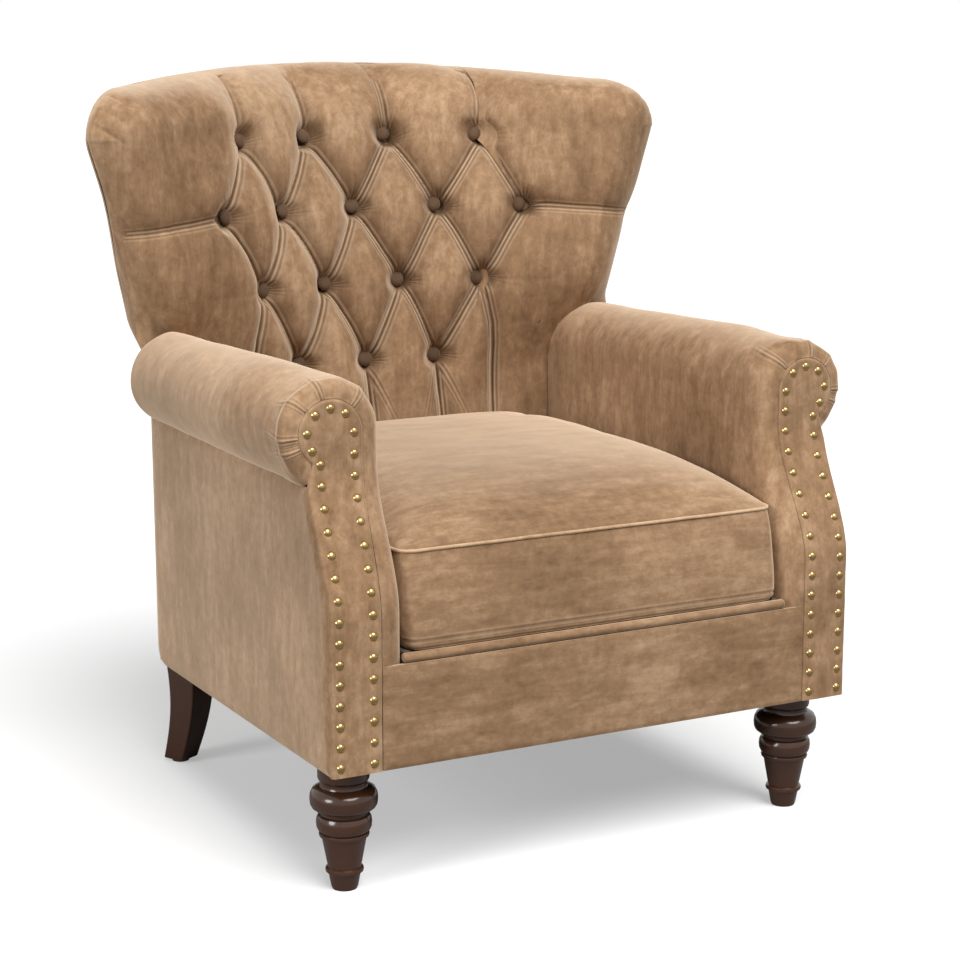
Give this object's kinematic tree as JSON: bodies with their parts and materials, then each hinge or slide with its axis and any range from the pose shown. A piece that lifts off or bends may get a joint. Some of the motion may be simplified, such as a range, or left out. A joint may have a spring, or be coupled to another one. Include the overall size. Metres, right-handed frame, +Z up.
{
  "type": "wingback armchair",
  "caption": "Upholstered wing armchair with a button-tufted barrel back, rolled arms edged with nail heads, a loose seat cushion and turned front legs.",
  "frame": {"origin": "floor level, at the middle of the footprint of the whole chair", "axes": "+Z up, the sitter faces -Y, +X towards the chair's right-hand side as seen from its front"},
  "size_m": [0.88, 0.85, 0.975],
  "materials": {
    "velvet": "brushed velvet",
    "button_velvet": "velvet over button moulds",
    "lining": "plain woven",
    "foam": "open cell foam, wrapped",
    "hardwood": "planed, unfinished",
    "dark_wood": "stained and lacquered",
    "spring_steel": "oiled",
    "nail_brass": "antiqued",
    "zip_metal": "plain",
    "black_cambric": "non-woven",
    "glide_plastic": "matte"
  },
  "bodies": {
    "chair": {"front_seat_rail": "hardwood", "back_seat_rail": "hardwood", "left_seat_rail": "hardwood", "right_seat_rail": "hardwood", "corner_blocks": "hardwood", "left_arm_post": "hardwood", "right_arm_post": "hardwood", "left_arm_top_board": "hardwood", "right_arm_top_board": "hardwood", "left_tacking_rail": "hardwood", "right_tacking_rail": "hardwood", "left_back_post": "hardwood", "right_back_post": "hardwood", "back_top_rail": "hardwood", "back_middle_rail": "hardwood", "back_lower_rail": "hardwood", "left_wing_board": "hardwood", "right_wing_board": "hardwood", "seat_springs": "spring_steel", "spring_clips": "spring_steel", "back_webbing": "lining", "deck_pad": "lining", "deck_lip": "velvet", "dust_cover": "black_cambric", "inside_back_pad": "velvet", "left_wing_pad": "velvet", "right_wing_pad": "velvet", "outside_back_panel": "velvet", "left_arm_pad": "velvet", "right_arm_pad": "velvet", "left_outside_arm": "velvet", "right_outside_arm": "velvet", "left_arm_facing": "velvet", "right_arm_facing": "velvet", "front_border": "velvet", "tuft_buttons": "button_velvet", "left_nail_heads": "nail_brass", "right_nail_heads": "nail_brass", "left_front_leg": "dark_wood", "right_front_leg": "dark_wood", "left_rear_leg": "dark_wood", "right_rear_leg": "dark_wood", "leg_plates": "spring_steel", "hanger_bolts": "spring_steel", "leg_glides": "glide_plastic"},
    "cushion": {"cushion_cover": "velvet", "cushion_core": "foam", "cushion_welt": "velvet", "zip_tape": "lining"},
    "zip": {"zip_slider": "zip_metal"}
  },
  "joints": [
    {"name": "cushion_lift", "type": "slide", "parent": "chair", "child": "cushion", "axis": [0, -0.6, 0.8], "range_m": [0, 0.45]},
    {"name": "zip_travel", "type": "slide", "parent": "cushion", "child": "zip", "axis": [1, 0, 0], "range_m": [0, 0.436]}
  ]
}
